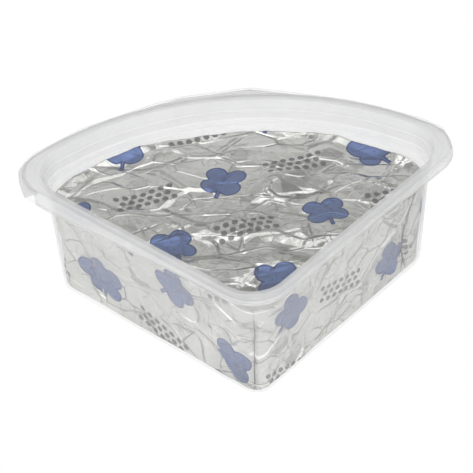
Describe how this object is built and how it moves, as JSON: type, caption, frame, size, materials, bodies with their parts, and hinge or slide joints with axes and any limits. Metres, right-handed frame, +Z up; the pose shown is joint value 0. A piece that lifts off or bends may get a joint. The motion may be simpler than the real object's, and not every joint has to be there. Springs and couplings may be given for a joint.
{
  "type": "foil wrapped cheese wedge in a clear tub",
  "caption": "Wedge of blue cheese wrapped in crumpled printed foil, in a translucent sector-shaped plastic tub under a clear film.",
  "frame": {"origin": "middle of the pack's box on the surface that the tub stands on", "axes": "+Z up, +X across the pack from the tab corner to the other back corner, +Y from the wedge's point to its round rind side"},
  "size_m": [0.242, 0.1938, 0.0791],
  "materials": {
    "tub_plastic": "translucent, satin gloss, thin moulded wall",
    "printed_foil": "bright crumpled foil with blue and grey print",
    "clear_film": "clear, glossy, very thin"
  },
  "bodies": {
    "root": {"tub": "tub_plastic", "foil_wedge": "printed_foil", "lid_film": "clear_film"}
  },
  "joints": []
}
